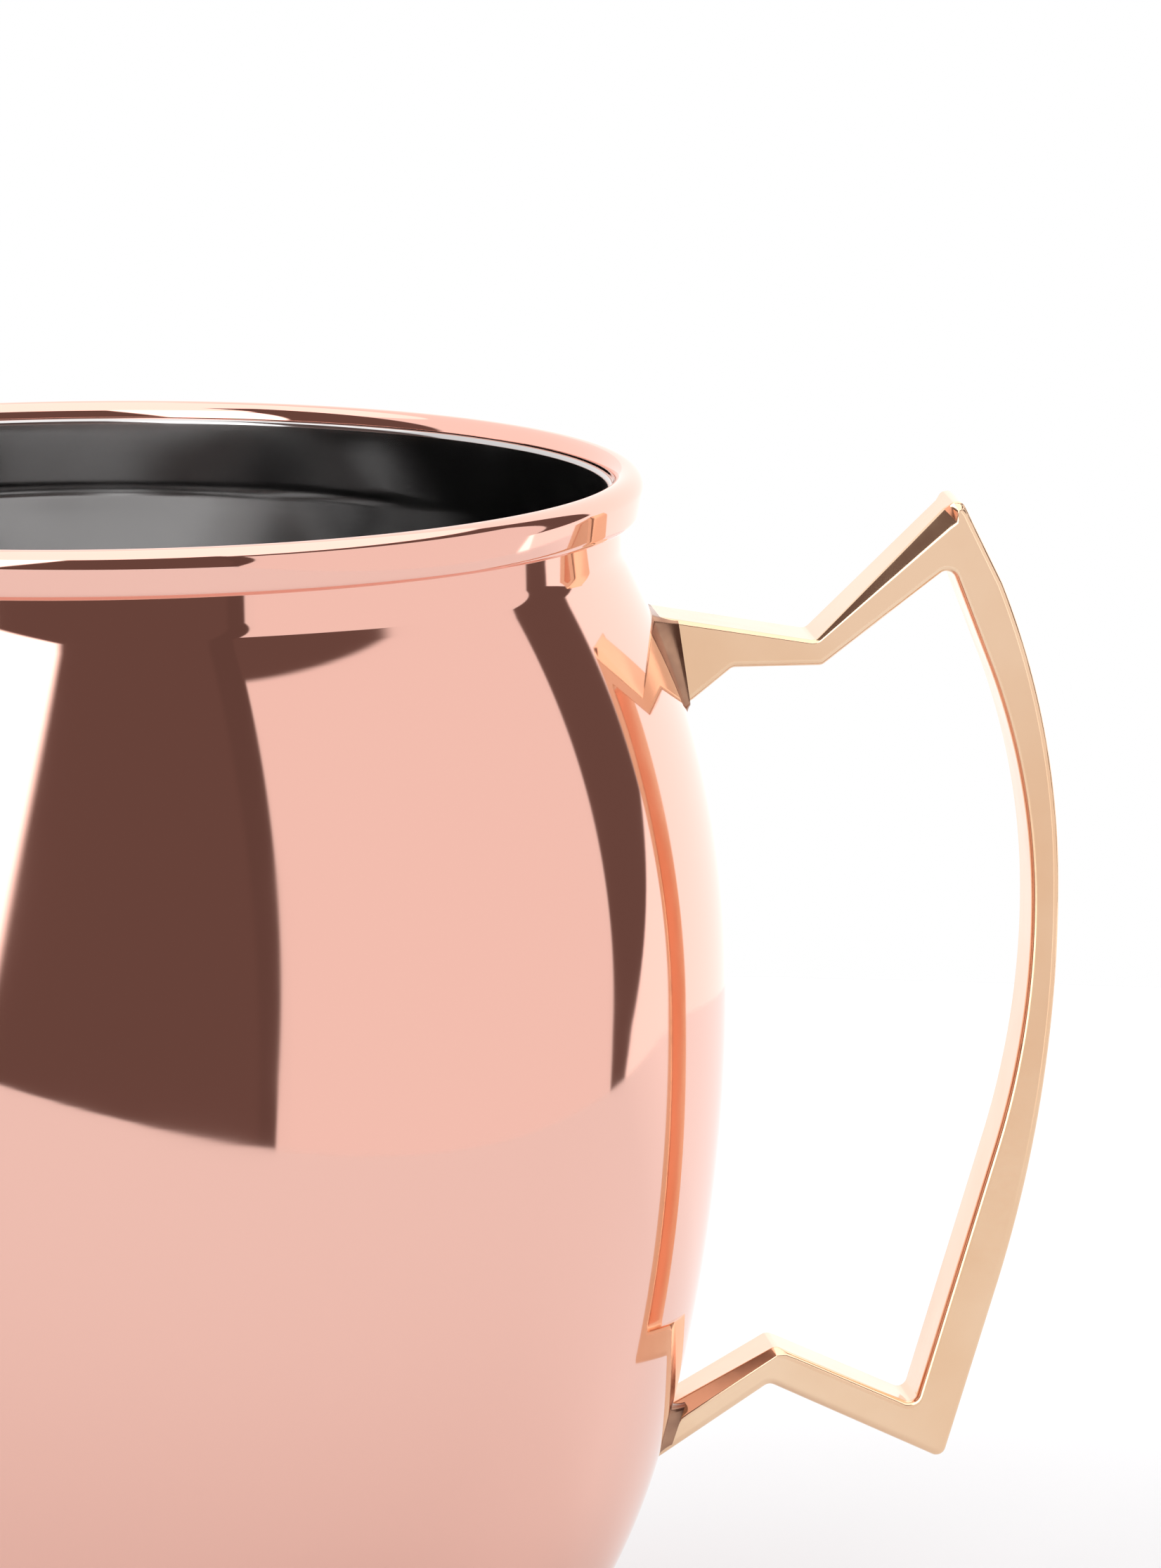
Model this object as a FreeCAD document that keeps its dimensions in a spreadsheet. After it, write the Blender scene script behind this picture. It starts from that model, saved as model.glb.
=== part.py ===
import FreeCAD, Part
import math
import os
import Sketcher

# A spun copper mug: a barrel with a rolled rim, a steel lining pressed into it and an
# angular brass handle brazed on at two feet.  Millimetres, +Z up.  The origin is the
# centre of the flat base, the handle lies in the XZ plane and points along +X.

SIZES = [
    # the barrel's outer outline
    ("overall_height", 92.0),
    ("belly_radius", 46.25),
    ("belly_height", 55.0),
    ("upper_flank_radius", 68.0),
    ("lower_flank_radius", 128.0),
    ("shoulder_height", 19.7),
    ("shoulder_radius", 48.0),
    ("base_corner_radius", 3.0),
    ("neck_radius", 38.9),
    ("neck_curve_radius", 2.5),
    # sheet thicknesses
    ("copper_wall", 0.7),
    ("lining_wall", 0.4),
    # the rolled rim
    ("rim_roll_radius", 1.15),
    ("rim_roll_height", 3.6),
    ("rim_curl_radius", 0.8),
    ("rim_curl_gap", 0.15),
    ("lining_below_rim", 1.15),
    ("hollow_overrun", 1.0),
    # the handle: a flat bar bent in a plane, with a bow between two cranked arms
    ("handle_width", 7.0),
    ("handle_edge_radius", 0.5),
    ("handle_corner_radius", 0.7),
    ("handle_root_x", 37.5),
    ("arm_top_root_z", 81.6),
    ("arm_valley_x", 52.9),
    ("arm_valley_z", 78.9),
    ("apex_x", 63.6),
    ("apex_z", 89.35),
    ("bow_out_x", 70.8),
    ("bow_out_z", 60.9),
    ("bow_out_upper_radius", 61.0),
    ("bow_out_lower_radius", 100.0),
    ("bow_out_upper_end_z", 82.8),
    ("bow_out_lower_end_z", 31.0),
    ("heel_x", 62.0),
    ("heel_z", 17.75),
    ("notch_x", 49.2),
    ("notch_z", 23.8),
    ("root_under_z", 16.2),
    ("root_over_z", 19.8),
    ("peak_x", 49.7),
    ("peak_z", 26.5),
    ("inner_heel_x", 59.9),
    ("inner_heel_z", 21.85),
    ("bow_in_x", 68.75),
    ("bow_in_z", 59.5),
    ("bow_in_upper_radius", 50.0),
    ("bow_in_lower_radius", 62.0),
    ("bow_in_upper_end_z", 77.4),
    ("bow_in_lower_end_z", 41.4),
    ("inner_apex_x", 62.9),
    ("inner_apex_z", 84.2),
    ("arm_under_bend_x", 53.4),
    ("arm_under_z", 77.05),
    ("foot_flare_x", 46.8),
    ("foot_flare_end_x", 43.9),
    ("foot_flare_end_z", 74.75),
    ("foot_under_z", 71.0),
    # brazing
    ("upper_root_z", 77.8),
    ("lower_root_z", 20.5),
    ("braze_reach", 1.5),
    ("braze_spread", 1.1),
    ("braze_feather", 0.05),
]

doc = FreeCAD.newDocument("copper_mug")
sheet = doc.addObject("Spreadsheet::Sheet", "Sizes")
for row, (alias, value) in enumerate(SIZES, start=1):
    sheet.set(f"A{row}", alias)
    sheet.set(f"B{row}", str(value))
    sheet.setAlias(f"B{row}", alias)
doc.recompute()


def size(alias):
    """The value of one cell of the sheet."""
    return float(sheet.get(alias))


def cell(formula):
    """A formula in cell names, as an expression that other objects can be bound to."""
    words = formula.replace("(", " ( ").replace(")", " ) ").split()
    aliases = {alias for alias, _ in SIZES}
    return " ".join("Sizes." + word if word in aliases else word for word in words)


# The half-sections of round parts lie in the YZ plane, so that the seam where a full turn
# closes runs down the barrel's side and not through the handle's roots.
ROUND_PLANE = "YZ_Plane"


# ---------------------------------------------------------------- sketches and bodies

def new_body(label):
    body = doc.addObject("PartDesign::Body", label)
    body.Label = label
    return body


def new_sketch(body, name, plane_role):
    """A sketch on one of the body's own upright planes, where sketch y is height."""
    sketch = body.newObject("Sketcher::SketchObject", name)
    plane = [item for item in body.Origin.OriginFeatures if item.Role == plane_role][0]
    sketch.AttachmentSupport = [(plane, "")]
    sketch.MapMode = "FlatFace"
    return sketch


def vector(x, z):
    return FreeCAD.Vector(x, z, 0)


class Outline:
    """A closed chain of lines and arcs in a sketch, in the order they are added."""

    def __init__(self, sketch, start):
        self.sketch = sketch
        self.start = start
        self.here = start
        self.pieces = []

    def line_to(self, x, z):
        self.pieces.append(("line", self.here, (x, z)))
        self.here = (x, z)
        return len(self.pieces) - 1

    def arc_to(self, x, z, centre, clockwise):
        self.pieces.append(("arc", self.here, (x, z), centre, clockwise))
        self.here = (x, z)
        return len(self.pieces) - 1

    def close(self):
        return self.line_to(*self.start)

    def draw(self, smooth_joints):
        """Adds the geometry; smooth_joints are the pieces that leave tangent to the next."""
        for piece in self.pieces:
            if piece[0] == "line":
                self.sketch.addGeometry(Part.LineSegment(vector(*piece[1]), vector(*piece[2])), False)
                continue
            _, first, last, centre, clockwise = piece
            radius = math.dist(first, centre)
            angles = [math.atan2(end[1] - centre[1], end[0] - centre[0]) for end in (first, last)]
            if clockwise:
                angles.reverse()
            if angles[1] < angles[0]:
                angles[1] += 2 * math.pi
            circle = Part.Circle(vector(*centre), FreeCAD.Vector(0, 0, 1), radius)
            self.sketch.addGeometry(Part.ArcOfCircle(circle, angles[0], angles[1]), False)
        count = len(self.pieces)
        for index in range(count):
            following = (index + 1) % count
            kind = "Tangent" if index in smooth_joints else "Coincident"
            self.sketch.addConstraint(
                Sketcher.Constraint(kind, index, self.end_of(index), following, self.start_of(following)))

    def start_of(self, index):
        piece = self.pieces[index]
        return 2 if piece[0] == "arc" and piece[4] else 1

    def end_of(self, index):
        return 3 - self.start_of(index)

    # constraints, each bound to a formula in cell names

    def bind(self, kind, places, value, formula):
        number = self.sketch.addConstraint(Sketcher.Constraint(kind, *places, value))
        self.sketch.setExpression(f"Constraints[{number}]", cell(formula))

    def radius(self, index, formula):
        _, first, _, centre, _ = self.pieces[index]
        self.bind("Radius", (index,), math.dist(first, centre), formula)

    def end_x(self, index, formula):
        self.bind("DistanceX", (-1, 1, index, self.end_of(index)), self.pieces[index][2][0], formula)

    def end_z(self, index, formula):
        self.bind("DistanceY", (-1, 1, index, self.end_of(index)), self.pieces[index][2][1], formula)

    def centre_z(self, index, formula):
        self.bind("DistanceY", (-1, 1, index, 3), self.pieces[index][3][1], formula)

    def end_at(self, index, x_formula, z_formula):
        self.end_x(index, x_formula)
        self.end_z(index, z_formula)

    def level(self, *indices):
        for index in indices:
            self.sketch.addConstraint(Sketcher.Constraint("Horizontal", index))

    def upright(self, *indices):
        for index in indices:
            self.sketch.addConstraint(Sketcher.Constraint("Vertical", index))


def revolve(body, name, sketch, cut=False):
    """A full turn of the sketch about the body's Z axis, added or taken away."""
    kind = "PartDesign::Groove" if cut else "PartDesign::Revolution"
    feature = body.newObject(kind, name)
    feature.Profile = sketch
    feature.ReferenceAxis = (sketch, ["V_Axis"])
    feature.Angle = 360
    before = body.Shape.Volume if cut else 0.0
    doc.recompute()
    if cut and feature.Shape.Volume >= before:
        raise RuntimeError(f"{name} cuts nothing")
    sketch.Visibility = False
    return feature


# ---------------------------------------------------------------- the barrel's outline

def barrel_outline(sketch, walls, top_sign, top_offset):
    """The closed half-section of a plain barrel, inset from the mug's outer surface.

    walls names the sheet thicknesses that the outline lies under.  Every arc of the outer
    surface keeps its centre, so each inset outline is parallel to it.  The outline's top is
    the overall height plus or minus the cell top_offset.
    """
    depth = sum(size(wall) for wall in walls)
    inset = " + ".join(walls) if walls else "0"
    top = size("overall_height") + (size(top_offset) if top_sign == "+" else -size(top_offset))
    top_formula = f"overall_height {top_sign} {top_offset}"
    belly_z = size("belly_height")
    upper = size("upper_flank_radius")
    lower = size("lower_flank_radius")
    shoulder = size("shoulder_radius")
    corner = size("base_corner_radius")
    neck = size("neck_curve_radius")
    upper_x = size("belly_radius") - upper
    lower_x = size("belly_radius") - lower
    drop = (belly_z - size("shoulder_height")) / lower
    reach = math.sqrt(1 - drop ** 2)
    shoulder_centre = (lower_x + (lower - shoulder) * reach, belly_z - (lower - shoulder) * drop)
    corner_rise = corner - shoulder_centre[1]
    corner_reach = math.sqrt((shoulder - corner) ** 2 - corner_rise ** 2)
    corner_centre = (shoulder_centre[0] + corner_reach, corner)
    neck_x = size("neck_radius") + neck
    neck_rise = math.sqrt((upper + neck) ** 2 - (neck_x - upper_x) ** 2)
    neck_centre = (neck_x, belly_z + neck_rise)

    def from_centre(centre, radius, direction):
        length = math.hypot(*direction)
        return (centre[0] + radius * direction[0] / length, centre[1] + radius * direction[1] / length)

    outline = Outline(sketch, (0.0, depth))
    base = outline.line_to(corner_centre[0], depth)
    corner_arc = outline.arc_to(
        *from_centre(corner_centre, corner - depth, (corner_reach, corner_rise)), corner_centre, False)
    shoulder_arc = outline.arc_to(
        *from_centre(shoulder_centre, shoulder - depth, (reach, -drop)), shoulder_centre, False)
    lower_arc = outline.arc_to(size("belly_radius") - depth, belly_z, (lower_x, belly_z), False)
    upper_arc = outline.arc_to(
        *from_centre((upper_x, belly_z), upper - depth, (neck_x - upper_x, neck_rise)),
        (upper_x, belly_z), False)
    neck_arc = outline.arc_to(size("neck_radius") - depth, neck_centre[1], neck_centre, True)
    neck_wall = outline.line_to(size("neck_radius") - depth, top)
    lid = outline.line_to(0.0, top)
    axis = outline.close()
    outline.draw(smooth_joints=[base, corner_arc, shoulder_arc, lower_arc, upper_arc, neck_arc])

    outline.level(base, lid)
    outline.upright(neck_wall, axis)
    outline.end_at(axis, "0", inset)
    outline.radius(corner_arc, f"base_corner_radius - ( {inset} )")
    outline.radius(shoulder_arc, f"shoulder_radius - ( {inset} )")
    outline.radius(lower_arc, f"lower_flank_radius - ( {inset} )")
    outline.radius(upper_arc, f"upper_flank_radius - ( {inset} )")
    outline.radius(neck_arc, f"neck_curve_radius + ( {inset} )")
    outline.end_at(lower_arc, f"belly_radius - ( {inset} )", "belly_height")
    outline.centre_z(lower_arc, "belly_height")
    outline.end_z(
        shoulder_arc,
        f"belly_height - ( lower_flank_radius - ( {inset} ) ) * ( belly_height - shoulder_height )"
        " / lower_flank_radius")
    outline.end_x(neck_wall, f"neck_radius - ( {inset} )")
    outline.end_z(neck_wall, top_formula)


# ---------------------------------------------------------------- the copper shell

def rolled_rim_outline(sketch):
    """The half-section of the sheet where it rolls over the top, down and in to the neck."""
    wall = size("copper_wall")
    roll = size("rim_roll_radius")
    curl = size("rim_curl_radius")
    inner = size("neck_radius") - wall
    roll_centre = (inner + roll, size("overall_height") - roll)
    outer = inner + 2 * roll
    low = size("overall_height") - size("rim_roll_height")
    curl_centre = (outer - curl, low + curl)
    lip = size("neck_radius") + size("rim_curl_gap")

    outline = Outline(sketch, (inner, roll_centre[1]))
    roll_outside = outline.arc_to(outer, roll_centre[1], roll_centre, True)
    flank_outside = outline.line_to(outer, curl_centre[1])
    curl_outside = outline.arc_to(curl_centre[0], low, curl_centre, True)
    underside = outline.line_to(lip, low)
    raw_edge = outline.line_to(lip, low + wall)
    curl_floor = outline.line_to(curl_centre[0], low + wall)
    curl_inside = outline.arc_to(outer - wall, curl_centre[1], curl_centre, False)
    flank_inside = outline.line_to(outer - wall, roll_centre[1])
    roll_inside = outline.arc_to(size("neck_radius"), roll_centre[1], roll_centre, False)
    seat = outline.close()
    outline.draw(smooth_joints=[roll_outside, flank_outside, curl_outside, curl_floor, curl_inside,
                                flank_inside])

    outline.level(underside, curl_floor)
    outline.upright(flank_outside, raw_edge, flank_inside)
    outline.radius(roll_outside, "rim_roll_radius")
    outline.radius(roll_inside, "rim_roll_radius - copper_wall")
    outline.radius(curl_outside, "rim_curl_radius")
    outline.radius(curl_inside, "rim_curl_radius - copper_wall")
    outline.end_at(seat, "neck_radius - copper_wall", "overall_height - rim_roll_radius")
    outline.centre_z(roll_outside, "overall_height - rim_roll_radius")
    outline.centre_z(roll_inside, "overall_height - rim_roll_radius")
    outline.end_at(roll_inside, "neck_radius", "overall_height - rim_roll_radius")
    outline.end_at(underside, "neck_radius + rim_curl_gap", "overall_height - rim_roll_height")
    outline.end_z(raw_edge, "overall_height - rim_roll_height + copper_wall")


def make_barrel_shell():
    body = new_body("barrel_shell")
    outside = new_sketch(body, "ShellOutside", ROUND_PLANE)
    barrel_outline(outside, [], "-", "rim_roll_radius")
    blank = revolve(body, "ShellBlank", outside)
    inside = new_sketch(body, "ShellInside", ROUND_PLANE)
    barrel_outline(inside, ["copper_wall"], "+", "hollow_overrun")
    revolve(body, "ShellHollow", inside, cut=True)
    rim = new_sketch(body, "RimSection", ROUND_PLANE)
    rolled_rim_outline(rim)
    revolve(body, "RolledRim", rim)
    return blank


def make_lining():
    body = new_body("inner_lining")
    outside = new_sketch(body, "LiningOutside", ROUND_PLANE)
    barrel_outline(outside, ["copper_wall"], "-", "lining_below_rim")
    revolve(body, "LiningBlank", outside)
    inside = new_sketch(body, "LiningInside", ROUND_PLANE)
    barrel_outline(inside, ["copper_wall", "lining_wall"], "+", "hollow_overrun")
    revolve(body, "LiningHollow", inside, cut=True)
    return body


# ---------------------------------------------------------------- the handle

def tangent_end(centre_x, centre_z, radius, z):
    """The point at height z on the right-hand side of a circle."""
    return (centre_x + math.sqrt(radius ** 2 - (z - centre_z) ** 2), z)


def handle_outline(sketch):
    """The flat bar's side view, from the top of the upper root round to its underside."""
    out_x, out_z = size("bow_out_x"), size("bow_out_z")
    in_x, in_z = size("bow_in_x"), size("bow_in_z")
    root = size("handle_root_x")
    out_up = size("bow_out_upper_radius")
    out_low = size("bow_out_lower_radius")
    in_up = size("bow_in_upper_radius")
    in_low = size("bow_in_lower_radius")

    outline = Outline(sketch, (root, size("arm_top_root_z")))
    arm_top = outline.line_to(size("arm_valley_x"), size("arm_valley_z"))
    rise_top = outline.line_to(size("apex_x"), size("apex_z"))
    bow_top = outline.line_to(*tangent_end(out_x - out_up, out_z, out_up, size("bow_out_upper_end_z")))
    bow_upper = outline.arc_to(out_x, out_z, (out_x - out_up, out_z), True)
    bow_lower = outline.arc_to(
        *tangent_end(out_x - out_low, out_z, out_low, size("bow_out_lower_end_z")),
        (out_x - out_low, out_z), True)
    bow_foot = outline.line_to(size("heel_x"), size("heel_z"))
    heel_under = outline.line_to(size("notch_x"), size("notch_z"))
    root_under = outline.line_to(root, size("root_under_z"))
    lower_root = outline.line_to(root, size("root_over_z"))
    root_over = outline.line_to(size("peak_x"), size("peak_z"))
    heel_over = outline.line_to(size("inner_heel_x"), size("inner_heel_z"))
    grip_foot = outline.line_to(*tangent_end(in_x - in_low, in_z, in_low, size("bow_in_lower_end_z")))
    grip_lower = outline.arc_to(in_x, in_z, (in_x - in_low, in_z), False)
    grip_upper = outline.arc_to(
        *tangent_end(in_x - in_up, in_z, in_up, size("bow_in_upper_end_z")), (in_x - in_up, in_z), False)
    grip_top = outline.line_to(size("inner_apex_x"), size("inner_apex_z"))
    rise_under = outline.line_to(size("arm_under_bend_x"), size("arm_under_z"))
    arm_under = outline.line_to(size("foot_flare_x"), size("arm_under_z"))
    flare = outline.line_to(size("foot_flare_end_x"), size("foot_flare_end_z"))
    foot_under = outline.line_to(root, size("foot_under_z"))
    outline.close()
    outline.draw(smooth_joints=[bow_upper, grip_lower])

    outline.end_at(arm_top, "arm_valley_x", "arm_valley_z")
    outline.end_at(rise_top, "apex_x", "apex_z")
    outline.end_z(bow_top, "bow_out_upper_end_z")
    outline.radius(bow_upper, "bow_out_upper_radius")
    outline.end_at(bow_upper, "bow_out_x", "bow_out_z")
    outline.centre_z(bow_upper, "bow_out_z")
    outline.radius(bow_lower, "bow_out_lower_radius")
    outline.end_z(bow_lower, "bow_out_lower_end_z")
    outline.end_at(bow_foot, "heel_x", "heel_z")
    outline.end_at(heel_under, "notch_x", "notch_z")
    outline.end_at(root_under, "handle_root_x", "root_under_z")
    outline.end_at(lower_root, "handle_root_x", "root_over_z")
    outline.end_at(root_over, "peak_x", "peak_z")
    outline.end_at(heel_over, "inner_heel_x", "inner_heel_z")
    outline.end_z(grip_foot, "bow_in_lower_end_z")
    outline.radius(grip_lower, "bow_in_lower_radius")
    outline.end_at(grip_lower, "bow_in_x", "bow_in_z")
    outline.centre_z(grip_lower, "bow_in_z")
    outline.radius(grip_upper, "bow_in_upper_radius")
    outline.end_z(grip_upper, "bow_in_upper_end_z")
    outline.end_at(grip_top, "inner_apex_x", "inner_apex_z")
    outline.end_at(rise_under, "arm_under_bend_x", "arm_under_z")
    outline.end_at(arm_under, "foot_flare_x", "arm_under_z")
    outline.end_at(flare, "foot_flare_end_x", "foot_flare_end_z")
    outline.end_at(foot_under, "handle_root_x", "foot_under_z")
    outline.end_at(len(outline.pieces) - 1, "handle_root_x", "arm_top_root_z")


def edges_where(shape, test):
    """The names of a shape's edges that pass a test."""
    return [f"Edge{number}" for number, edge in enumerate(shape.Edges, start=1) if test(edge)]


def runs_across(edge):
    """A straight edge along Y, at a corner of the bar's side view outside the barrel."""
    ends = [vertex.Point for vertex in edge.Vertexes]
    if len(ends) != 2:
        return False
    along = (ends[1] - ends[0]).normalize()
    return abs(along.y) > 0.99 and ends[0].x > size("handle_root_x") + 1


def on_a_side(edge):
    """An edge that lies wholly in one of the bar's two flat side faces."""
    half = size("handle_width") / 2
    box = edge.BoundBox
    flat = box.YLength < 0.001 and abs(abs(box.YMin) - half) < 0.001
    return flat and box.XMax > size("handle_root_x") + 1


def make_handle():
    body = new_body("handle")
    side_view = new_sketch(body, "HandleSideView", "XZ_Plane")
    handle_outline(side_view)
    bar = body.newObject("PartDesign::Pad", "HandleBar")
    bar.Profile = side_view
    bar.SideType = "Symmetric"
    bar.setExpression("Length", cell("handle_width"))
    doc.recompute()
    corners = body.newObject("PartDesign::Fillet", "HandleCorners")
    corners.Base = (bar, edges_where(bar.Shape, runs_across))
    corners.setExpression("Radius", cell("handle_corner_radius"))
    doc.recompute()
    edges = body.newObject("PartDesign::Fillet", "HandleEdges")
    edges.Base = (corners, edges_where(corners.Shape, on_a_side))
    edges.setExpression("Radius", cell("handle_edge_radius"))
    doc.recompute()
    barrel = new_sketch(body, "HandleSeat", ROUND_PLANE)
    barrel_outline(barrel, [], "-", "rim_roll_radius")
    revolve(body, "HandleRoots", barrel, cut=True)
    return body


# ---------------------------------------------------------------- the brazing

def rounded_rectangle(low, high, half_width, radius, place):
    """A closed wire; place turns (along the wall, across the handle) into a point."""
    corners = [(high, half_width), (low, half_width), (low, -half_width), (high, -half_width)]
    edges = []
    for index, (along, across) in enumerate(corners):
        before = corners[index - 1]
        after = corners[(index + 1) % 4]

        def towards(other):
            length = math.dist((along, across), other)
            share = radius / length
            return (along + (other[0] - along) * share, across + (other[1] - across) * share)

        start, end = towards(before), towards(after)
        inward = 1 - math.sqrt(0.5)
        centre = (start[0] + end[0] - along, start[1] + end[1] - across)
        middle = (along + (centre[0] - along) * inward, across + (centre[1] - across) * inward)
        edges.append(Part.Arc(place(*start), place(*middle), place(*end)).toShape())
        next_along, next_across = after
        length = math.dist((along, across), after)
        share = radius / length
        turn = (next_along + (along - next_along) * share, next_across + (across - next_across) * share)
        edges.append(Part.LineSegment(place(*end), place(*turn)).toShape())
    return Part.Wire(edges)


def make_braze(label, root_z, flank_radius, handle, barrel):
    """The bead of brazing metal round one root, hollow-sided and widest against the barrel."""
    rise = (root_z - size("belly_height")) / flank_radius
    run = math.sqrt(1 - rise ** 2)
    outward = FreeCAD.Vector(run, 0, rise)
    upward = FreeCAD.Vector(-rise, 0, run)
    foot = FreeCAD.Vector(size("belly_radius") - flank_radius * (1 - run), 0, root_z)
    reach = size("braze_reach")
    wires = []
    for share in (-0.5, 0.0, 0.3, 0.6, 1.0):
        plane = foot + outward * (max(share, 0.05) * reach)
        cuts = handle.slice(outward, plane.dot(outward))
        root_cut = min(cuts, key=lambda wire: wire.BoundBox.Center.distanceToPoint(plane))
        heights = [(point - foot).dot(upward) for point in root_cut.discretize(60)]
        spread = size("braze_spread") * (1 - max(share, 0.0)) ** 2 + size("braze_feather")
        level = foot + outward * (share * reach)

        def place(along, across, level=level):
            return level + upward * along + FreeCAD.Vector(0, across, 0)

        wires.append(rounded_rectangle(
            min(heights) - spread, max(heights) + spread, size("handle_width") / 2 + spread,
            size("handle_edge_radius") + spread, place))
    bead = Part.makeLoft(wires, True, True).cut(barrel).cut(handle)
    rings = [one for one in bead.Solids if one.Volume > 0.5]
    if len(rings) != 1:
        raise RuntimeError(f"{label} should be one solid")
    braze = doc.addObject("Part::Feature", label)
    braze.Label = label
    braze.Shape = rings[0]


barrel = make_barrel_shell().Shape
make_lining()
bar = make_handle().Shape
make_braze("upper_braze", size("upper_root_z"), size("upper_flank_radius"), bar, barrel)
make_braze("lower_braze", size("lower_root_z"), size("lower_flank_radius"), bar, barrel)
doc.recompute()

# ---------------------------------------------------------------- checks and files

for item in doc.Objects:
    if {"Invalid", "Error"} & set(item.State):
        raise RuntimeError(f"{item.Name} failed: {item.State}")
    if item.TypeId == "Sketcher::SketchObject" and not item.FullyConstrained:
        raise RuntimeError(f"{item.Name} isn't fully constrained")

os.makedirs("parts", exist_ok=True)
for item in doc.Objects:
    if item.TypeId not in ("PartDesign::Body", "Part::Feature"):
        continue
    if item.Shape.isNull() or not item.Shape.isValid():
        raise RuntimeError(f"{item.Label} has no valid shape")
    item.Shape.exportStep(f"parts/{item.Label}.step")
    box = item.Shape.BoundBox
    print(f"{item.Label}: {len(item.Shape.Solids)} solid(s), {item.Shape.Volume:.1f} mm3, "
          f"x {box.XMin:.2f}..{box.XMax:.2f}, z {box.ZMin:.2f}..{box.ZMax:.2f}")
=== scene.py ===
import math

import bmesh
import bpy
from mathutils import Matrix, Vector
from mathutils.geometry import tessellate_polygon


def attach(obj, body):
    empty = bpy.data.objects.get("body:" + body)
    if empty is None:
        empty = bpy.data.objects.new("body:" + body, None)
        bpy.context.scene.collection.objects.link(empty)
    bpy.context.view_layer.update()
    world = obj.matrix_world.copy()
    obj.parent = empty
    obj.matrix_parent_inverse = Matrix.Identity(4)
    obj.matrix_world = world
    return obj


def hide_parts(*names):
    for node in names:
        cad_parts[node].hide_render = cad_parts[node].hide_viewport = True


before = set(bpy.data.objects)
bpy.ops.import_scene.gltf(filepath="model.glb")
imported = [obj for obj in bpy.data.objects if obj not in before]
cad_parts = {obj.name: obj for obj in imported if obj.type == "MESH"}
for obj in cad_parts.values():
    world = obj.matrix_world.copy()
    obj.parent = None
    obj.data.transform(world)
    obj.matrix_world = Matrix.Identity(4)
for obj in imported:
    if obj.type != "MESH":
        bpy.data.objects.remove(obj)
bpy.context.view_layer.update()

MM = 0.001

# ---------------------------------------------------------------- sizes, in millimetres
# They are the CAD's, but for the rim's lean and the handle's filed edges, which the CAD leaves plain.

BELLY_R, BELLY_Z = 46.25, 55.0
UPPER_R, LOWER_R = 68.0, 128.0
SHOULDER_Z, SHOULDER_R, BASE_CORNER_R = 19.7, 48.0, 3.0
NECK_R, NECK_CURVE_R = 38.9, 2.5
WALL, LINING = 0.7, 0.4
TOP, ROLL_R, ROLL_HEIGHT, CURL_R, CURL_GAP = 91.99, 1.15, 3.6, 0.8, 0.15
RIM_TILT = math.radians(10)
LINING_TOP = 90.84
EDGE_CUT = 0.03
HANDLE_HALF_WIDTH = 3.5
SEAT_DEPTH = 0.25

drop = (BELLY_Z - SHOULDER_Z) / LOWER_R
reach = math.sqrt(1 - drop ** 2)
UPPER_C = (BELLY_R - UPPER_R, BELLY_Z)
LOWER_C = (BELLY_R - LOWER_R, BELLY_Z)
SHOULDER_C = (LOWER_C[0] + (LOWER_R - SHOULDER_R) * reach, LOWER_C[1] - (LOWER_R - SHOULDER_R) * drop)
corner_rise = BASE_CORNER_R - SHOULDER_C[1]
corner_reach = math.sqrt((SHOULDER_R - BASE_CORNER_R) ** 2 - corner_rise ** 2)
CORNER_C = (SHOULDER_C[0] + corner_reach, BASE_CORNER_R)
neck_x = NECK_R + NECK_CURVE_R
NECK_C = (neck_x, BELLY_Z + math.sqrt((UPPER_R + NECK_CURVE_R) ** 2 - (neck_x - UPPER_C[0]) ** 2))


# ---------------------------------------------------------------- outlines

def toward(start, end):
    """The angle of the direction from one point to another."""
    return math.atan2(end[1] - start[1], end[0] - start[0])


def arc(centre, radius, first, last, steps):
    """Points on an arc between two angles."""
    points = []
    for number in range(steps + 1):
        angle = first + (last - first) * number / steps
        points.append((centre[0] + radius * math.cos(angle), centre[1] + radius * math.sin(angle)))
    return points


def joined(*runs):
    """One line of points from several, without the doubled ends."""
    points = []
    for run in runs:
        for point in run:
            if not points or math.dist(points[-1], point) > 1e-5:
                points.append(point)
    return points


def wall_line(inset):
    """The barrel's side view, from the base's edge up to the neck, moved inwards by inset."""
    corner_to_shoulder = toward(SHOULDER_C, CORNER_C)
    shoulder_to_flank = toward(LOWER_C, SHOULDER_C)
    neck_to_flank = toward(UPPER_C, NECK_C)
    return joined(
        arc(CORNER_C, BASE_CORNER_R - inset, -math.pi / 2, corner_to_shoulder, 14),
        arc(SHOULDER_C, SHOULDER_R - inset, corner_to_shoulder, shoulder_to_flank, 30),
        arc(LOWER_C, LOWER_R - inset, shoulder_to_flank, 0.0, 30),
        arc(UPPER_C, UPPER_R - inset, 0.0, neck_to_flank, 44),
        arc(NECK_C, NECK_CURVE_R + inset, neck_to_flank + math.pi, math.pi, 16))


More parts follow.
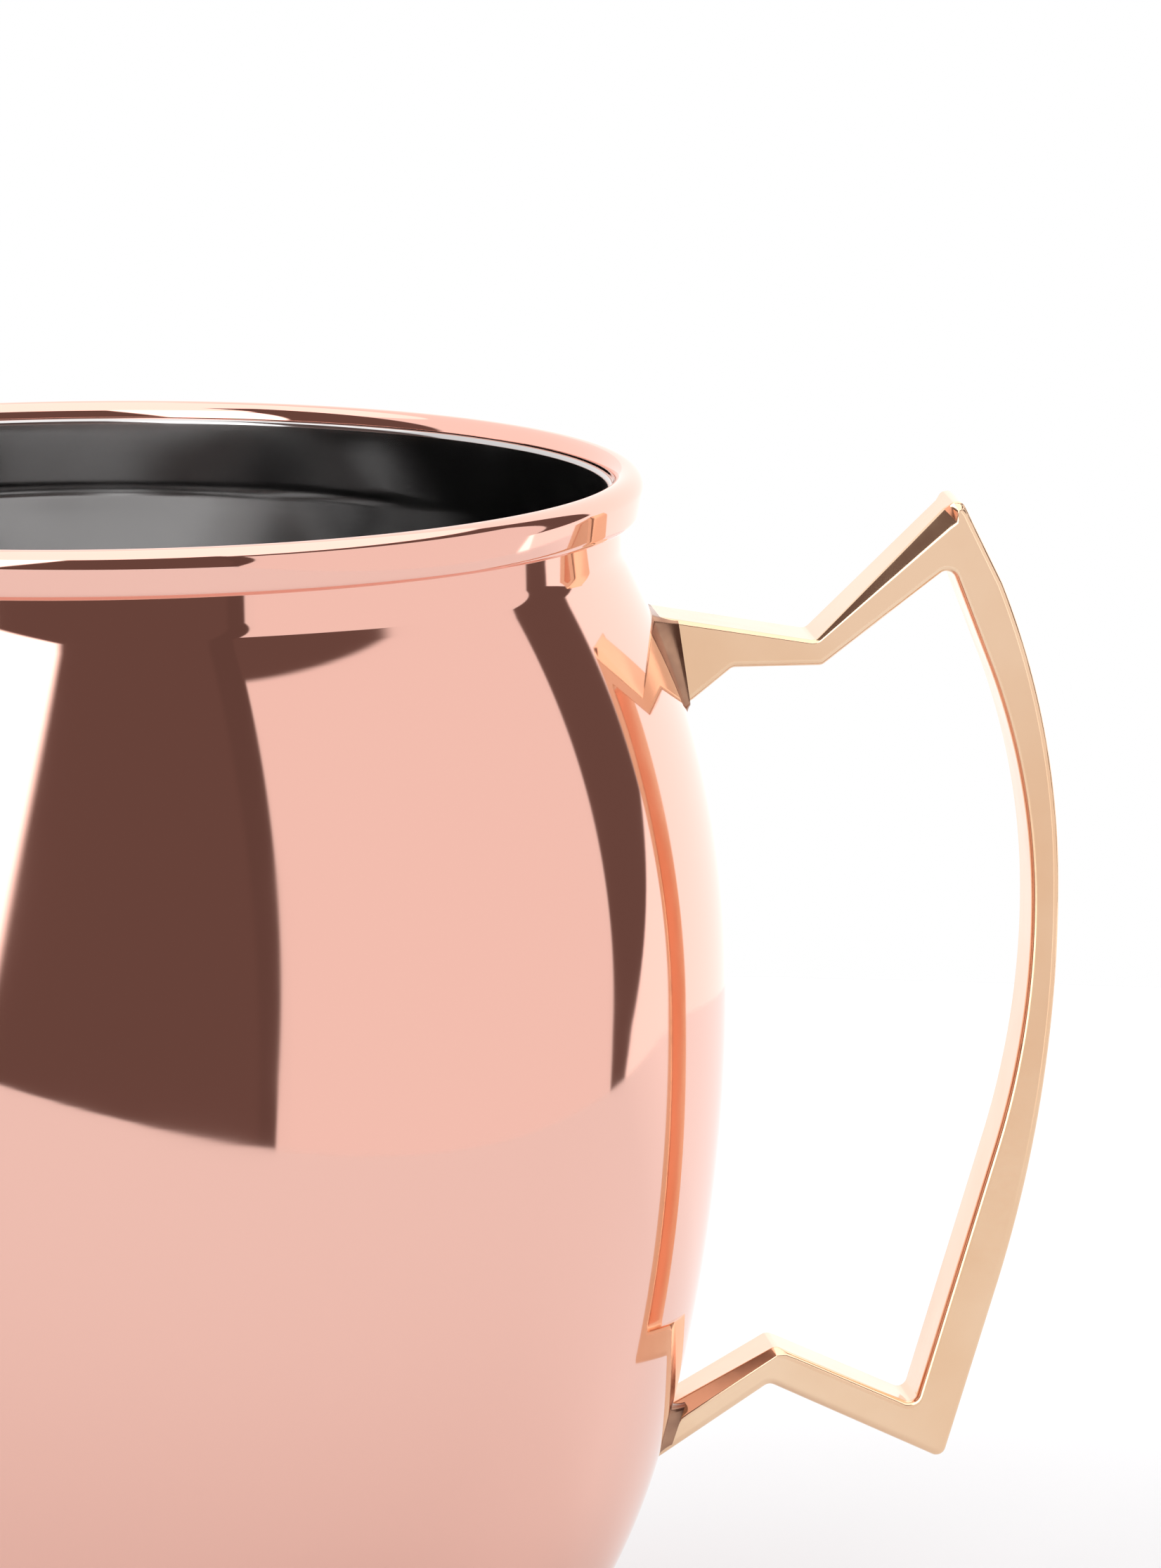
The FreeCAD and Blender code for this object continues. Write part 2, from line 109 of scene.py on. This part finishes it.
def shell_line():
    """The copper shell: outside up, over the rolled rim and its curl, then down the inside."""
    roll = (NECK_R - WALL + ROLL_R, TOP - ROLL_R)
    low = TOP - ROLL_HEIGHT + CURL_R
    fall = (roll[1] - low - (ROLL_R - CURL_R) * math.sin(RIM_TILT)) / math.cos(RIM_TILT)
    curl = (roll[0] + (ROLL_R - CURL_R) * math.cos(RIM_TILT) - fall * math.sin(RIM_TILT), low)
    lip = NECK_R + CURL_GAP
    underside = low - CURL_R
    outside = wall_line(0.0)
    inside = wall_line(WALL)
    inside.reverse()
    return joined(
        [(0.0, 0.0)], outside,
        [(NECK_R, 88.0), (NECK_R, 89.2), (NECK_R, 90.2)],
        arc(roll, ROLL_R - WALL, math.pi, -RIM_TILT, 10),
        arc(curl, CURL_R - WALL, -RIM_TILT, -math.pi / 2, 6),
        [(lip + EDGE_CUT, underside + WALL), (lip, underside + WALL - EDGE_CUT)],
        [(lip, underside + EDGE_CUT), (lip + EDGE_CUT, underside)],
        arc(curl, CURL_R, -math.pi / 2, -RIM_TILT, 14),
        arc(roll, ROLL_R, -RIM_TILT, math.pi, 34),
        [(NECK_R - WALL, 89.6), (NECK_R - WALL, 88.0)],
        inside, [(0.0, WALL)])


def lining_line():
    """The thin steel lining: outside up to its top edge, then down the inside."""
    outside = wall_line(WALL)
    inside = wall_line(WALL + LINING)
    inside.reverse()
    outer, inner = NECK_R - WALL, NECK_R - WALL - LINING
    rounding = LINING - 0.05
    return joined(
        [(0.0, WALL)], outside, [(outer, 89.0), (outer, LINING_TOP - EDGE_CUT)],
        arc((outer - EDGE_CUT, LINING_TOP - rounding), rounding, math.pi / 2, math.pi, 10),
        [(inner, 89.6), (inner, 88.5)],
        inside, [(0.0, WALL + LINING)])


# ---------------------------------------------------------------- mesh makers

def finish_mesh(name, points, faces, material, node, sharp=35):
    """A mesh object that stands for one CAD node."""
    mesh = bpy.data.meshes.new(name)
    mesh.from_pydata([(x * MM, y * MM, z * MM) for x, y, z in points], [], faces)
    mesh.validate()
    solid = bmesh.new()
    solid.from_mesh(mesh)
    bmesh.ops.recalc_face_normals(solid, faces=solid.faces)
    solid.to_mesh(mesh)
    solid.free()
    mesh.shade_smooth()
    mesh.set_sharp_from_angle(angle=math.radians(sharp))
    mesh.materials.append(material)
    piece = bpy.data.objects.new(name, mesh)
    bpy.context.collection.objects.link(piece)
    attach(piece, "root")
    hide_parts(node)
    return piece


def spin(line, steps):
    """Points and faces of a side view turned about Z. The line starts and ends on the axis."""
    points = [(0.0, 0.0, line[0][1])]
    rings = line[1:-1]
    for radius, height in rings:
        for step in range(steps):
            angle = 2 * math.pi * step / steps
            points.append((radius * math.cos(angle), radius * math.sin(angle), height))
    points.append((0.0, 0.0, line[-1][1]))
    last = len(points) - 1
    faces = []
    for step in range(steps):
        following = (step + 1) % steps
        faces.append((0, 1 + following, 1 + step))
        for ring in range(len(rings) - 1):
            low, high = 1 + ring * steps, 1 + (ring + 1) * steps
            faces.append((low + step, low + following, high + following, high + step))
        low = 1 + (len(rings) - 1) * steps
        faces.append((low + step, low + following, last))
    return points, faces


# ---------------------------------------------------------------- the handle

def arc_point(centre, radius, z):
    """The point of an arc's outer side at a height."""
    return (centre[0] + math.sqrt(radius ** 2 - (z - centre[1]) ** 2), z)


def barrel_radius(z):
    """The barrel's outer radius at a height."""
    if z > BELLY_Z:
        return UPPER_C[0] + math.sqrt(UPPER_R ** 2 - (z - BELLY_Z) ** 2)
    if z > SHOULDER_Z:
        return LOWER_C[0] + math.sqrt(LOWER_R ** 2 - (z - BELLY_Z) ** 2)
    return SHOULDER_C[0] + math.sqrt(SHOULDER_R ** 2 - (z - SHOULDER_C[1]) ** 2)


def root_point(inner, outer):
    """Where a line of the bar's side view passes SEAT_DEPTH into the barrel."""
    low, high = 0.0, 1.0
    for _ in range(40):
        share = (low + high) / 2
        x = inner[0] + (outer[0] - inner[0]) * share
        z = inner[1] + (outer[1] - inner[1]) * share
        if x < barrel_radius(z) - SEAT_DEPTH:
            low = share
        else:
            high = share
    return (x, z)


BOW_OUT, OUT_UP_R, OUT_LOW_R = (70.8, 60.9), 61.0, 100.0
BOW_IN, IN_UP_R, IN_LOW_R = (68.75, 59.5), 50.0, 62.0
OUT_UP, OUT_LOW = (BOW_OUT[0] - OUT_UP_R, BOW_OUT[1]), (BOW_OUT[0] - OUT_LOW_R, BOW_OUT[1])
IN_UP, IN_LOW = (BOW_IN[0] - IN_UP_R, BOW_IN[1]), (BOW_IN[0] - IN_LOW_R, BOW_IN[1])
ARM_TOP = ((37.5, 81.6), (52.9, 78.9))
APEX, INNER_APEX = (63.6, 89.35), (62.9, 84.2)
HEEL, INNER_HEEL = (62.0, 17.75), (59.9, 21.85)
ARM_UNDER = ((53.4, 77.05), (46.8, 77.05))
FOOT_UNDER = ((37.5, 71.0), (43.9, 74.75))
ROOT_OVER = ((37.5, 19.8), (49.7, 26.5))
ROOT_UNDER = ((37.5, 16.2), (49.2, 23.8))
ROUNDED, FILED = 1.0, 0.22
PLAIN = (0.3, ROUNDED)
CORNER_R, CORNER_STEPS, BOW_STEPS, GRIP_STEPS = 0.7, 8, 24, 20
LONGEST_SIDE = 0.7


def along_bow(centre, radius, first, last, steps):
    """Corners along one arc of the bow."""
    return [(point, 0.0, *PLAIN) for point in arc(centre, radius, first, last, steps)]


def bar_corners():
    """The bar's side view, clockwise: point, corner radius, bevel width and how soft the bevel is."""
    bow_top = arc_point(OUT_UP, OUT_UP_R, 82.8)
    bow_foot = arc_point(OUT_LOW, OUT_LOW_R, 31.0)
    grip_foot = arc_point(IN_LOW, IN_LOW_R, 41.4)
    grip_top = arc_point(IN_UP, IN_UP_R, 77.4)
    return [
        (root_point(*ARM_TOP), 0.0, 0.32, 0.6), (ARM_TOP[1], CORNER_R, 0.25, 0.5),
        ((62.5, 88.3), 0.0, 1.25, FILED), (APEX, CORNER_R, 0.55, FILED), ((64.25, 88.0), 0.0, *PLAIN),
        *along_bow(OUT_UP, OUT_UP_R, toward(OUT_UP, bow_top), 0.0, BOW_STEPS),
        *along_bow(OUT_LOW, OUT_LOW_R, 0.0, toward(OUT_LOW, bow_foot), BOW_STEPS)[1:],
        (HEEL, CORNER_R, *PLAIN), (ROOT_UNDER[1], CORNER_R, *PLAIN), (root_point(*ROOT_UNDER), 0.0, *PLAIN),
        (root_point(*ROOT_OVER), 0.0, 1.1, FILED), (ROOT_OVER[1], CORNER_R, 0.6, FILED),
        ((50.6, 26.09), 0.0, *PLAIN), (INNER_HEEL, CORNER_R, *PLAIN),
        *along_bow(IN_LOW, IN_LOW_R, toward(IN_LOW, grip_foot), 0.0, GRIP_STEPS),
        *along_bow(IN_UP, IN_UP_R, 0.0, toward(IN_UP, grip_top), GRIP_STEPS)[1:],
        (INNER_APEX, CORNER_R, *PLAIN), (ARM_UNDER[0], CORNER_R, *PLAIN), (ARM_UNDER[1], CORNER_R, *PLAIN),
        (FOOT_UNDER[1], CORNER_R, *PLAIN), (root_point(*FOOT_UNDER), 0.0, *PLAIN)]


def bevel_line(width, soft, steps=5):
    """A bevel across one edge, from the flat side to the rim of the side view: offset inwards and depth."""
    radius = 1.707 * width * soft
    cut = radius * math.tan(math.pi / 8)
    first = arc((width + cut, radius), radius, -math.pi / 2, -3 * math.pi / 4, steps)
    second = arc((radius, width + cut), radius, -3 * math.pi / 4, -math.pi, steps)
    return [(width + cut + 0.08, 0.0)] + first + second + [(0.0, width + cut + 0.08)]


def bar_ring(corners, row):
    """One ring of points round the bar, moved inwards along each bevel: x, z and the depth from the side."""
    count = len(corners)
    moved, turns = [], []
    for number, (here, radius, width, soft) in enumerate(corners):
        before, after = Vector(corners[number - 1][0]), Vector(corners[(number + 1) % count][0])
        here = Vector(here)
        u, v = (here - before).normalized(), (after - here).normalized()
        n = Vector((u.y, -u.x)) + Vector((v.y, -v.x))
        offset, depth = bevel_line(width, soft)[row]
        moved.append((here + n * (offset / (1 + u.dot(v))), depth))
        turns.append(u.x * v.y - u.y * v.x)
    ring = []
    for number, (place, depth) in enumerate(moved):
        radius = corners[number][1]
        if radius == 0.0:
            ring.append((place.x, place.y, depth))
            continue
        offset = bevel_line(*corners[number][2:])[row][0]
        radius = max(0.05, radius + (offset if turns[number] > 0 else -offset))
        a = (moved[number - 1][0] - place).normalized()
        b = (moved[(number + 1) % count][0] - place).normalized()
        turn = math.pi - a.angle(b)
        centre = place + (a + b).normalized() * (radius / math.cos(turn / 2))
        start = place + a * (radius * math.tan(turn / 2))
        first = math.atan2(start.y - centre.y, start.x - centre.x)
        side = 1 if a.x * b.y - a.y * b.x < 0 else -1
        for step in range(CORNER_STEPS + 1):
            angle = first + side * turn * step / CORNER_STEPS
            ring.append((centre.x + radius * math.cos(angle), centre.y + radius * math.sin(angle), depth))
    return ring


def subdivided(ring, parts):
    """A ring with each side cut into its own number of parts."""
    out = []
    for number, here in enumerate(ring):
        after = ring[(number + 1) % len(ring)]
        for part in range(parts[number]):
            share = part / parts[number]
            out.append(tuple(a + (b - a) * share for a, b in zip(here, after)))
    return out


def make_handle(material):
    corners = bar_corners()
    rows = len(bevel_line(*PLAIN))
    outer = bar_ring(corners, rows - 1)
    parts = [max(1, round(math.dist(here[:2], outer[(number + 1) % len(outer)][:2]) / LONGEST_SIDE))
             for number, here in enumerate(outer)]
    rings = [subdivided(bar_ring(corners, row), parts) for row in range(rows)]
    count = len(rings[0])
    near = [[(x, -HANDLE_HALF_WIDTH + depth, z) for x, z, depth in ring] for ring in rings]
    far = [[(x, HANDLE_HALF_WIDTH - depth, z) for x, z, depth in ring] for ring in reversed(rings)]
    middle = [[(x, y, z) for x, z, _ in rings[-1]] for y in (-1.2, 0.0, 1.2)]
    points = [point for ring in near + middle + far for point in ring]
    total = len(points) // count
    faces = []
    for ring in range(total - 1):
        for number in range(count):
            following = (number + 1) % count
            low, high = ring * count, (ring + 1) * count
            faces.append((low + number, high + number, high + following, low + following))
    flat = tessellate_polygon([[Vector((x, z, 0.0)) for x, z, _ in rings[0]]])
    faces += [tuple(triangle) for triangle in flat]
    faces += [tuple((total - 1) * count + corner for corner in reversed(triangle)) for triangle in flat]
    return finish_mesh("handle_cast", points, faces, material, "handle", 32)


# ---------------------------------------------------------------- the brazing

def line_height(line, x):
    """A straight line's height at x."""
    (x1, z1), (x2, z2) = line
    return z1 + (z2 - z1) * (x - x1) / (x2 - x1)


def bead_row(low, high, half_width, radius, steps=5):
    """A rounded rectangle of heights and widths."""
    points = []
    for z, y, first in ((high - radius, half_width - radius, 0), (high - radius, radius - half_width, 90),
                        (low + radius, radius - half_width, 180), (low + radius, half_width - radius, 270)):
        for step in range(steps + 1):
            angle = math.radians(first + 90 * step / steps)
            points.append((z + radius * math.sin(angle), y + radius * math.cos(angle)))
    return points


BEAD_SPREAD, BEAD_HOLD = 0.35, 0.35


def make_bead(name, node, under, over, ends, material):
    """Brazing metal round a root: hollow-sided, from the barrel's skin out to a cut across the bar."""
    (low_x, low_z), (high_x, high_z) = ends

    def end_x(z):
        return low_x + (high_x - low_x) * (z - low_z) / (high_z - low_z)

    middle = (low_z + high_z) / 2
    steps = 8
    rows = [(0.0, -BEAD_HOLD, -0.3)]
    for step in range(steps + 1):
        share = step / steps
        rows.append((share, BEAD_SPREAD * (1 - share) ** 2 + 0.04, -0.12 * (1 - share)))
    rows.append((1.0, -BEAD_HOLD, 0.0))
    points = []
    for share, wide, sink in rows:
        at = barrel_radius(middle)
        at += (end_x(middle) - at) * share
        outline = bead_row(line_height(under, at) - wide, line_height(over, at) + wide,
                           HANDLE_HALF_WIDTH + wide, max(0.15, 0.4 + wide))
        for z, y in outline:
            skin = math.sqrt(barrel_radius(z) ** 2 - y ** 2)
            points.append((skin + max(end_x(z) - skin, 0.05) * share + sink, y, z))
    count = len(points) // len(rows)
    faces = []
    for row in range(len(rows)):
        for number in range(count):
            following = (number + 1) % count
            low, high = row * count, ((row + 1) % len(rows)) * count
            faces.append((low + number, low + following, high + following, high + number))
    return finish_mesh(name, points, faces, material, node, 50)


# ---------------------------------------------------------------- materials

def node_material(name):
    """A new material with its tree's nodes and links and its main shader."""
    material = bpy.data.materials.new(name)
    material.use_nodes = True
    tree = material.node_tree
    return material, tree.nodes, tree.links, tree.nodes["Principled BSDF"]


def noise(nodes, links, coords, scale, detail, stretch=None):
    """Smooth noise, stretched along an axis where its spun or brushed lines run."""
    texture = nodes.new("ShaderNodeTexNoise")
    texture.inputs["Scale"].default_value = scale
    texture.inputs["Detail"].default_value = detail
    source = coords
    if stretch:
        mapping = nodes.new("ShaderNodeMapping")
        mapping.inputs["Scale"].default_value = stretch
        links.new(coords, mapping.inputs["Vector"])
        source = mapping.outputs["Vector"]
    links.new(source, texture.inputs["Vector"])
    return texture.outputs["Fac"]


def ranged(nodes, links, value, low, high, from_low=0.3, from_high=0.7):
    """A value moved from one range to another."""
    spread = nodes.new("ShaderNodeMapRange")
    spread.inputs["From Min"].default_value = from_low
    spread.inputs["From Max"].default_value = from_high
    spread.inputs["To Min"].default_value = low
    spread.inputs["To Max"].default_value = high
    links.new(value, spread.inputs["Value"])
    return spread.outputs["Result"]


def blended(nodes, links, value, first, second, from_low=0.35, from_high=0.65):
    """A colour that drifts between two with a noise."""
    ramp = nodes.new("ShaderNodeValToRGB")
    ramp.color_ramp.elements[0].position = from_low
    ramp.color_ramp.elements[0].color = first
    ramp.color_ramp.elements[1].position = from_high
    ramp.color_ramp.elements[1].color = second
    links.new(value, ramp.inputs["Fac"])
    return ramp.outputs["Color"]


def bumped(nodes, links, height, strength, distance, normal=None):
    """A surface normal tilted by a height, distance in metres."""
    bump = nodes.new("ShaderNodeBump")
    bump.inputs["Strength"].default_value = strength
    bump.inputs["Distance"].default_value = distance
    links.new(height, bump.inputs["Height"])
    if normal:
        links.new(normal, bump.inputs["Normal"])
    return bump.outputs["Normal"]


def copper_material():
    """Buffed copper, with a slight ripple from spinning."""
    material, nodes, links, shader = node_material("polished_copper")
    shader.inputs["Metallic"].default_value = 1.0
    shader.inputs["Base Color"].default_value = (0.885, 0.53, 0.445, 1.0)
    shader.inputs["Specular Tint"].default_value = (1.0, 0.97, 0.95, 1.0)
    where = nodes.new("ShaderNodeTexCoord").outputs["Object"]
    haze = noise(nodes, links, where, 60.0, 3.0)
    links.new(ranged(nodes, links, haze, 0.03, 0.065), shader.inputs["Roughness"])
    ripple = noise(nodes, links, where, 45.0, 1.0)
    first = bumped(nodes, links, ripple, 0.35, 0.00002)
    spun = noise(nodes, links, where, 900.0, 2.0, (0.02, 0.02, 1.0))
    links.new(bumped(nodes, links, spun, 0.15, 0.000004, first), shader.inputs["Normal"])
    return material


def lining_material():
    """Grey steel with fine rings round it."""
    material, nodes, links, shader = node_material("satin_steel")
    shader.inputs["Metallic"].default_value = 1.0
    shader.inputs["Base Color"].default_value = (0.55, 0.55, 0.55, 1.0)
    where = nodes.new("ShaderNodeTexCoord").outputs["Object"]
    haze = noise(nodes, links, where, 80.0, 4.0)
    links.new(ranged(nodes, links, haze, 0.09, 0.16), shader.inputs["Roughness"])
    spun = noise(nodes, links, where, 1500.0, 3.0, (0.02, 0.02, 1.0))
    links.new(bumped(nodes, links, spun, 0.3, 0.00001), shader.inputs["Normal"])
    return material


def brass_material():
    """Cast brass, polished but not quite even."""
    material, nodes, links, shader = node_material("cast_brass")
    shader.inputs["Metallic"].default_value = 1.0
    shader.inputs["Base Color"].default_value = (0.87, 0.63, 0.43, 1.0)
    where = nodes.new("ShaderNodeTexCoord").outputs["Object"]
    haze = noise(nodes, links, where, 140.0, 4.0)
    links.new(ranged(nodes, links, haze, 0.09, 0.2), shader.inputs["Roughness"])
    tone = noise(nodes, links, where, 55.0, 4.0)
    colour = blended(nodes, links, tone, (0.9, 0.66, 0.46, 1.0), (0.82, 0.54, 0.34, 1.0))
    links.new(colour, shader.inputs["Base Color"])
    cast = noise(nodes, links, where, 220.0, 3.0)
    links.new(bumped(nodes, links, cast, 0.4, 0.00006), shader.inputs["Normal"])
    return material


def braze_material():
    """Brazing metal, darkened by heat."""
    material, nodes, links, shader = node_material("brazing_metal")
    shader.inputs["Metallic"].default_value = 1.0
    shader.inputs["Base Color"].default_value = (0.85, 0.56, 0.4, 1.0)
    where = nodes.new("ShaderNodeTexCoord").outputs["Object"]
    haze = noise(nodes, links, where, 300.0, 3.0)
    links.new(ranged(nodes, links, haze, 0.15, 0.3), shader.inputs["Roughness"])
    heat = noise(nodes, links, where, 260.0, 3.0)
    colour = blended(nodes, links, heat, (0.22, 0.11, 0.08, 1.0), (0.5, 0.3, 0.2, 1.0))
    links.new(colour, shader.inputs["Base Color"])
    flow = noise(nodes, links, where, 350.0, 2.0)
    links.new(bumped(nodes, links, flow, 0.5, 0.00008), shader.inputs["Normal"])
    return material


def floor_material():
    """Pale board with a painted glow that grows towards the back, standing in for the light on a lit sweep.
    """
    material, nodes, links, shader = node_material("pale_floor")
    shader.inputs["Base Color"].default_value = (0.63, 0.655, 0.67, 1.0)
    shader.inputs["Roughness"].default_value = 0.7
    shader.inputs["Specular IOR Level"].default_value = 0.0
    shader.inputs["Emission Color"].default_value = (1.0, 1.0, 1.0, 1.0)
    split = nodes.new("ShaderNodeSeparateXYZ")
    links.new(nodes.new("ShaderNodeTexCoord").outputs["Object"], split.inputs[0])
    # painted light: emission strength rises with Y, so the board glows brighter towards the back
    glow = ranged(nodes, links, split.outputs["Y"], 0.165, 0.3, 0.045, 0.12)
    links.new(glow, shader.inputs["Emission Strength"])
    return material


copper = copper_material()
steel = lining_material()
brass = brass_material()
braze = braze_material()

# ---------------------------------------------------------------- the mug

points, faces = spin(shell_line(), 384)
finish_mesh("shell_spun", points, faces, copper, "barrel_shell")
points, faces = spin(lining_line(), 256)
finish_mesh("lining_spun", points, faces, steel, "inner_lining")
handle = make_handle(brass)

make_bead("braze_upper", "upper_braze", FOOT_UNDER, ARM_TOP, ((43.65, 74.6), (42.8, 80.7)), braze)
make_bead("braze_lower", "lower_braze", ROOT_UNDER, ROOT_OVER, ((41.6, 18.4), (42.9, 22.2)), braze)

# ---------------------------------------------------------------- floor, light and camera

FLAG_COLOUR = (0.154, 0.103, 0.092, 1.0)
WHITE = (1.0, 1.0, 1.0, 1.0)
PANEL_LEVEL, LEFT_LEVEL, RIGHT_LEVEL, BACK_LEFT_LEVEL, CEILING_LEVEL = 0.86, 2.5, 1.15, 1.0, 1.5


def sky():
    """Soft boxes and dark flags as the metal sees them, and plain white behind the mug.

    Directions are in degrees: azimuth from the front, growing towards the handle, and elevation. A box's
    slanted edge is a line in the two.
    """
    world = bpy.data.worlds.new("studio")
    bpy.context.scene.world = world
    world.use_nodes = True
    nodes, links = world.node_tree.nodes, world.node_tree.links
    nodes.clear()

    def math_node(operation, first, second=None):
        node = nodes.new("ShaderNodeMath")
        node.operation = operation
        for socket, value in zip(node.inputs, (first, second)):
            if value is None:
                continue
            if isinstance(value, (int, float)):
                socket.default_value = value
            else:
                links.new(value, socket)
        return node.outputs[0]

    split = nodes.new("ShaderNodeSeparateXYZ")
    links.new(nodes.new("ShaderNodeTexCoord").outputs["Generated"], split.inputs[0])
    x, y, z = split.outputs
    azimuth = math_node("DEGREES", math_node("ARCTAN2", x, math_node("MULTIPLY", y, -1.0)))
    elevation = math_node("DEGREES", math_node("ARCSINE", z))

    def above(value, edge, soft):
        """0 below an edge and 1 above it."""
        spread = nodes.new("ShaderNodeMapRange")
        spread.interpolation_type = "SMOOTHSTEP"
        links.new(math_node("SUBTRACT", value, edge), spread.inputs["Value"])
        spread.inputs["From Min"].default_value = -soft / 2
        spread.inputs["From Max"].default_value = soft / 2
        return spread.outputs["Result"]

    def below(value, edge, soft):
        return math_node("SUBTRACT", 1.0, above(value, edge, soft))

    def both(*masks):
        result = masks[0]
        for mask in masks[1:]:
            result = math_node("MULTIPLY", result, mask)
        return result

    def slanted(value, slope, start):
        return math_node("ADD", math_node("MULTIPLY", value, slope), start)

    panel = both(above(azimuth, slanted(elevation, 0.06, 29.3), 0.6), below(azimuth, 104.0, 0.6),
                 below(elevation, slanted(azimuth, -0.08, 39.3), 0.8))
    left = both(below(azimuth, slanted(elevation, 0.25, -23.0), 3.0), above(azimuth, -50.0, 2.0),
                below(elevation, 52.0, 1.0))
    right_edge = math_node("MINIMUM", slanted(elevation, 0.9, 119.0), 122.0)
    right = both(above(azimuth, right_edge, 1.0), below(elevation, 46.0, 2.0))
    back_left = both(below(azimuth, -90.0, 3.0), below(elevation, 60.0, 2.0))

    right_half = above(azimuth, 30.0, 1.0)
    side_flag = both(above(azimuth, -90.0, 4.0), below(azimuth, -55.0, 4.0))
    ceiling_edge = math_node("SUBTRACT", 50.0, math_node("MULTIPLY", right_half, 5.0))
    ceiling_edge = math_node("ADD", ceiling_edge, math_node("MULTIPLY", side_flag, 20.0))
    ceiling = above(elevation, ceiling_edge, 2.0)

    level = math_node("MULTIPLY", panel, PANEL_LEVEL)
    for box, strength in ((right, RIGHT_LEVEL), (back_left, BACK_LEFT_LEVEL), (left, LEFT_LEVEL)):
        level = math_node("ADD", level, math_node("MULTIPLY", box, strength))
    level = math_node("MAXIMUM", level, math_node("MULTIPLY", ceiling, CEILING_LEVEL))

    flags = nodes.new("ShaderNodeBackground")
    flags.inputs["Color"].default_value = FLAG_COLOUR
    edge_shade = both(above(azimuth, 25.0, 1.5), below(azimuth, 31.0, 0.5))
    links.new(math_node("SUBTRACT", 1.0, math_node("MULTIPLY", edge_shade, 0.12)), flags.inputs["Strength"])
    boxes = nodes.new("ShaderNodeBackground")
    boxes.inputs["Color"].default_value = WHITE
    links.new(level, boxes.inputs["Strength"])
    metal_view = nodes.new("ShaderNodeAddShader")
    links.new(flags.outputs[0], metal_view.inputs[0])
    links.new(boxes.outputs[0], metal_view.inputs[1])
    plain = nodes.new("ShaderNodeBackground")
    plain.inputs["Color"].default_value = WHITE
    plain.inputs["Strength"].default_value = 1.0
    choose = nodes.new("ShaderNodeMixShader")
    links.new(nodes.new("ShaderNodeLightPath").outputs["Is Camera Ray"], choose.inputs[0])
    links.new(metal_view.outputs[0], choose.inputs[1])
    links.new(plain.outputs[0], choose.inputs[2])
    output = nodes.new("ShaderNodeOutputWorld")
    links.new(choose.outputs[0], output.inputs[0])


def make_floor():
    """A board whose front edge is as far off as the one that the copper mirrors."""
    front = arc((-0.285, 0.227), 0.584, math.radians(-78), math.radians(-10), 34)
    back = arc((0.0, -0.02), 0.345, math.radians(35), math.radians(235), 40)
    rim = front + back
    mesh = bpy.data.meshes.new("floor")
    mesh.from_pydata([(x, y, 0.0) for x, y in rim], [], [tuple(reversed(range(len(rim))))])
    mesh.materials.append(floor_material())
    floor = bpy.data.objects.new("floor", mesh)
    bpy.context.collection.objects.link(floor)
    floor.location.z = -0.00002


def overhead():
    """A soft light that fills the floor. The polished metal doesn't mirror it."""
    light = bpy.data.lights.new("overhead", "SUN")
    light.energy = 0.2
    light.angle = math.radians(120)
    lamp = bpy.data.objects.new("overhead", light)
    bpy.context.collection.objects.link(lamp)
    lamp.rotation_euler = (math.radians(10), math.radians(15), 0)
    lamp.visible_glossy = False


def side_card(pieces):
    """A soft box in front of the handle, which lights the brass only."""
    light = bpy.data.lights.new("side_card", "AREA")
    light.shape = "RECTANGLE"
    light.size, light.size_y = 0.36, 0.36
    light.energy = 0.31
    lamp = bpy.data.objects.new("side_card", light)
    bpy.context.collection.objects.link(lamp)
    lamp.location = (0.09, -0.30, 0.10)
    lamp.rotation_euler = (math.radians(90), 0, 0)
    lamp.visible_camera = False
    lit = bpy.data.collections.new("brass_pieces")
    for piece in pieces:
        lit.objects.link(piece)
    lamp.light_linking.receiver_collection = lit


CAMERA_DISTANCE, CAMERA_HEIGHT, CAMERA_TURN = 1.25, 0.26557, math.radians(4.5)
AIM_RIGHT, AIM_HEIGHT, CAMERA_ROLL, LENS = 0.03573, 0.06864, -0.0075, 397.7


def make_camera():
    """A long lens, a little left of the front and above the mug."""
    data = bpy.data.cameras.new("camera")
    data.lens = LENS
    data.sensor_width = 36.0
    data.clip_start, data.clip_end = 0.05, 20.0
    camera = bpy.data.objects.new("camera", data)
    bpy.context.collection.objects.link(camera)
    across = Vector((math.cos(CAMERA_TURN), -math.sin(CAMERA_TURN), 0.0))
    place = Vector((-CAMERA_DISTANCE * math.sin(CAMERA_TURN), -CAMERA_DISTANCE * math.cos(CAMERA_TURN),
                    CAMERA_HEIGHT))
    aim = across * AIM_RIGHT + Vector((0.0, 0.0, AIM_HEIGHT))
    look = (aim - place).to_track_quat("-Z", "Y").to_matrix().to_4x4()
    camera.matrix_world = Matrix.Translation(place) @ look @ Matrix.Rotation(CAMERA_ROLL, 4, "Z")
    bpy.context.scene.camera = camera


sky()
make_floor()
overhead()
side_card([handle])
make_camera()
bpy.context.scene.view_settings.view_transform = "Standard"
